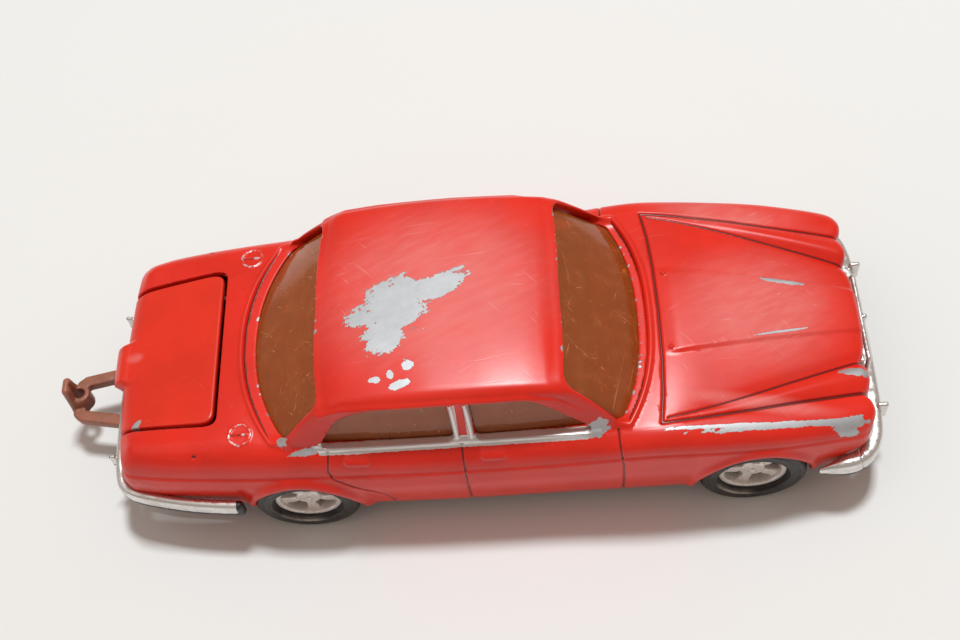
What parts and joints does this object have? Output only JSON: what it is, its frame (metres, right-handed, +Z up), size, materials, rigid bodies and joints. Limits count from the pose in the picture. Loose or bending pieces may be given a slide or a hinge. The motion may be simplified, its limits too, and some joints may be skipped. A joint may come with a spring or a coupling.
{
  "type": "toy saloon car",
  "caption": "Small free-rolling die-cast saloon car with amber windows, an opening boot lid, wire axles, plated bumpers and a tow hook with an eye.",
  "frame": {"origin": "on the floor under the middle of the car's overall length, tow hook included", "axes": "+X towards the nose, +Y to the car's left, +Z up"},
  "size_m": [0.0816, 0.029, 0.021],
  "materials": {
    "red_paint": "worn gloss enamel over zinc casting, bare metal chips",
    "boot_paint": "worn enamel, slightly more orange than the body",
    "steel_wire": "drawn wire",
    "amber_glazing": "scratched clear amber plastic",
    "brown_plastic": "moulded",
    "black_plastic": "moulded",
    "plated_plastic": "vacuum plated, worn to black along its edges",
    "brick_plastic": "moulded",
    "tyre_plastic": "hard black tyre with fine tread",
    "wheel_plating": "dull plated plastic"
  },
  "bodies": {
    "chassis": {"body_shell": "red_paint", "glazing": "amber_glazing", "interior_tub": "brown_plastic", "base_plate": "black_plastic", "front_bumper": "plated_plastic", "rear_bumper": "plated_plastic", "tow_hook": "brick_plastic"},
    "boot": {"boot_lid": "boot_paint", "boot_hinge_pin": "steel_wire"},
    "front_wheels": {"front_axle": "steel_wire", "tyre_front_left": "tyre_plastic", "tyre_front_right": "tyre_plastic", "wheel_front_left": "wheel_plating", "wheel_front_right": "wheel_plating"},
    "rear_wheels": {"rear_axle": "steel_wire", "tyre_rear_left": "tyre_plastic", "tyre_rear_right": "tyre_plastic", "wheel_rear_left": "wheel_plating", "wheel_rear_right": "wheel_plating"}
  },
  "joints": [
    {"name": "boot_hinge", "type": "hinge", "parent": "chassis", "child": "boot", "pos_m": [-0.0203, 0, 0.0123], "axis": [0, 1, 0], "range_deg": [0, 50]},
    {"name": "front_axle_spin", "type": "hinge", "parent": "chassis", "child": "front_wheels", "pos_m": [0.0275, 0, 0.00514], "axis": [0, 1, 0], "continuous": true},
    {"name": "rear_axle_spin", "type": "hinge", "parent": "chassis", "child": "rear_wheels", "pos_m": [-0.0155, 0, 0.00514], "axis": [0, 1, 0], "continuous": true}
  ]
}
